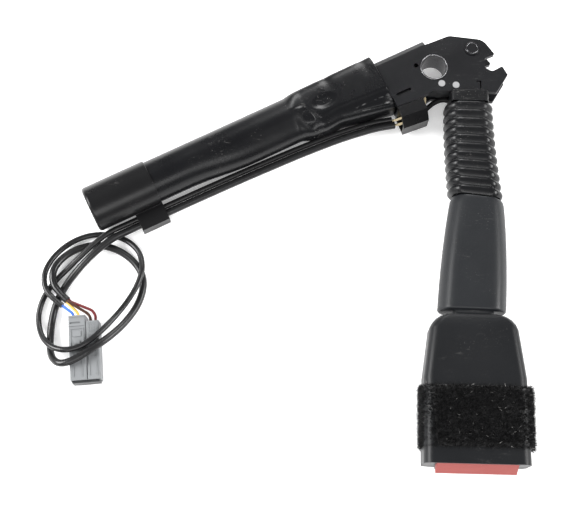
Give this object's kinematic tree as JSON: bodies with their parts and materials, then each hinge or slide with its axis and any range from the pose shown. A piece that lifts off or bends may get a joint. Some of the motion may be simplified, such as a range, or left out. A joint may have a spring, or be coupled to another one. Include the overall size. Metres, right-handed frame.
{
  "type": "seat belt buckle",
  "caption": "Seat belt buckle on a rope stalk in bellows and sleeve, with folded anchor bracket, cable pretensioner tube, release button, latch and a wired connector.",
  "frame": {"origin": "centre of the mounting bore, midway between the two bracket plates", "axes": "+Z along the bore, away from the surface the object lies on; -Y down the stalk to the buckle; +X away from the pretensioner tube"},
  "size_m": [0.2805, 0.257, 0.027],
  "materials": {
    "black_steel": "satin",
    "gloss_black_steel": "gloss",
    "bare_steel": "brushed",
    "brass": "satin",
    "gloss_black_plastic": "gloss",
    "black_plastic": "matte",
    "grained_plastic": "grained",
    "pale_plastic": "matte",
    "black_rubber": "semi-gloss",
    "lead_jacket": "soft sheen",
    "fleece": "pile",
    "red_plastic": "worn",
    "grey_plastic": "matte",
    "blue_plastic": "soft sheen",
    "yellow_plastic": "soft sheen",
    "red_insulation": "soft sheen",
    "brown_plastic": "soft sheen",
    "cream_plastic": "soft sheen"
  },
  "bodies": {
    "anchor": {"anchor_bracket": "black_steel", "mounting_bush": "bare_steel", "rope_guide": "pale_plastic", "guide_rivets": "bare_steel", "locating_pin": "bare_steel", "pretensioner_tube": "gloss_black_steel", "tube_end_plug": "bare_steel", "tube_cap": "gloss_black_plastic", "gas_generator": "bare_steel", "generator_seal": "black_rubber", "igniter_plug": "pale_plastic", "wire_rope": "bare_steel", "bracket_lead_clip": "gloss_black_plastic", "clip_wires": "cream_plastic", "stalk_lead": "lead_jacket", "held_lead_a": "lead_jacket", "held_lead_b": "lead_jacket", "bellows_collar": "black_rubber", "bellows": "black_rubber", "connector_left": "grey_plastic", "connector_right": "grey_plastic", "connector_lock": "grey_plastic", "connector_terminals": "brass", "free_lead_a": "lead_jacket", "free_lead_b": "lead_jacket", "blue_wire": "blue_plastic", "yellow_wire": "yellow_plastic", "brown_wire": "brown_plastic", "red_wire": "red_insulation"},
    "piston_set": {"piston": "bare_steel", "piston_seal": "black_rubber", "locking_balls": "bare_steel", "rope_ferrule": "bare_steel"},
    "buckle": {"stalk_sleeve": "grained_plastic", "rope_fitting": "bare_steel", "fitting_rivet": "bare_steel", "upper_cover": "grained_plastic", "lower_cover": "grained_plastic", "frame_floor": "bare_steel", "frame_sides": "bare_steel", "frame_roof": "bare_steel", "latch_pin": "bare_steel", "latch_spring": "bare_steel", "ejector_spring": "bare_steel", "button_springs": "bare_steel", "tongue_guide": "black_plastic", "buckle_switch": "black_plastic", "fleece_band": "fleece"},
    "button": {"release_button": "red_plastic", "lock_bar": "bare_steel"},
    "ejector_slide": {"ejector": "black_plastic"},
    "latch_arm": {"latch": "bare_steel"}
  },
  "joints": [
    {"name": "buckle_pull", "type": "slide", "parent": "anchor", "child": "buckle", "axis": [0, 1, 0], "range_m": [0, 0.038], "deforming": ["bellows", "wire_rope", "stalk_lead"]},
    {"name": "piston_stroke", "type": "slide", "parent": "anchor", "child": "piston_set", "axis": [-0.8846, -0.4664, 0], "range_m": [0, 0.038]},
    {"name": "button_press", "type": "slide", "parent": "buckle", "child": "button", "axis": [0, 1, 0], "range_m": [0, 0.0045], "stiffness_N_per_m": 1200, "springref_m": -0.003, "deforming": ["button_springs"]},
    {"name": "latch_swing", "type": "hinge", "parent": "buckle", "child": "latch_arm", "pos_m": [0.0206, -0.19, 0.0031], "axis": [1, 0, 0], "range_deg": [0, 9.5]},
    {"name": "ejector_travel", "type": "slide", "parent": "buckle", "child": "ejector_slide", "axis": [0, 1, 0], "range_m": [0, 0.012], "stiffness_N_per_m": 150, "springref_m": -0.01, "deforming": ["ejector_spring"]}
  ],
  "couplings": [
    {"joint": "piston_stroke", "follows": "buckle_pull", "ratio": 1},
    {"joint": "latch_swing", "follows": "ejector_travel", "rad_per_m": 13.8}
  ]
}
